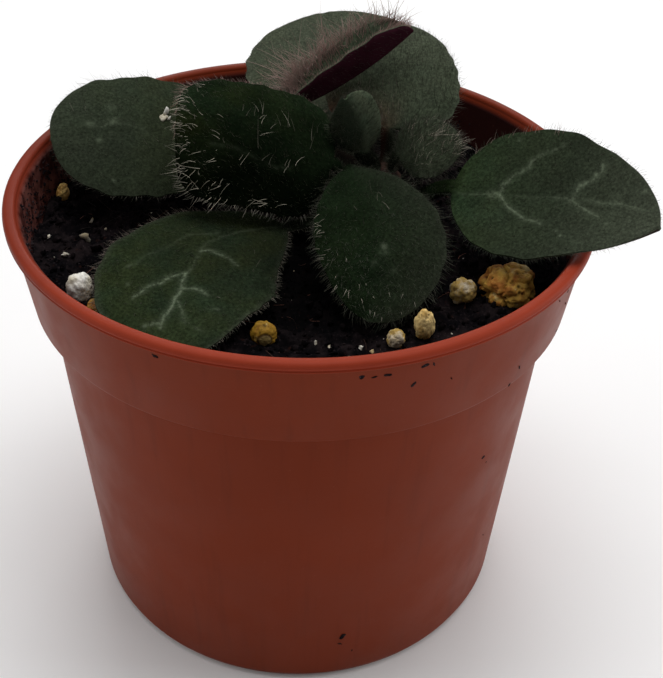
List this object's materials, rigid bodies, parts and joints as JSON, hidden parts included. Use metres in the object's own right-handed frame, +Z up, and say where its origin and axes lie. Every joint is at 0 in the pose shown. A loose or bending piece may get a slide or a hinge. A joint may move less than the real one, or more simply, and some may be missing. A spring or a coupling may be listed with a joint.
{
  "type": "potted primulina pseudoyungfuensis",
  "caption": "Small rosette of dark, velvety, scalloped oval leaves with pale veins, growing low in peat mix with scattered perlite in a round terracotta-coloured plastic nursery pot.",
  "frame": {"origin": "centre of the pot's base, on the surface it stands on", "axes": "+Z up along the pot's axis, -Y towards the viewer of the picture, +X to that viewer's right"},
  "size_m": [0.0633, 0.06, 0.0607],
  "materials": {
    "terracotta_plastic": "satin moulded polypropylene, brick red to red-brown",
    "potting_mix": "crumbly moist peat",
    "crown_stem": "matte and hairy",
    "leaf_velvet": "velvety, hairy, dark green with pale veins",
    "young_leaf_velvet": "densely hairy, grey-green",
    "perlite": "matte, pitted",
    "pumice": "matte, stained amber"
  },
  "bodies": {
    "root": {"pot": "terracotta_plastic", "potting_mix": "potting_mix", "crown": "crown_stem", "leaf_left_back": "leaf_velvet", "leaf_left": "leaf_velvet", "leaf_front_left": "leaf_velvet", "leaf_front": "leaf_velvet", "leaf_right": "leaf_velvet", "leaf_back_left": "leaf_velvet", "leaf_back_right": "leaf_velvet", "leaf_folded": "leaf_velvet", "leaf_young_left": "young_leaf_velvet", "leaf_young_right": "young_leaf_velvet", "perlite_white": "perlite", "perlite_orange": "pumice", "fertiliser_prill": "pumice", "perlite_small": "perlite", "perlite_tall": "pumice", "perlite_cream": "perlite", "pumice_amber": "pumice", "perlite_yellow": "pumice"}
  },
  "joints": []
}
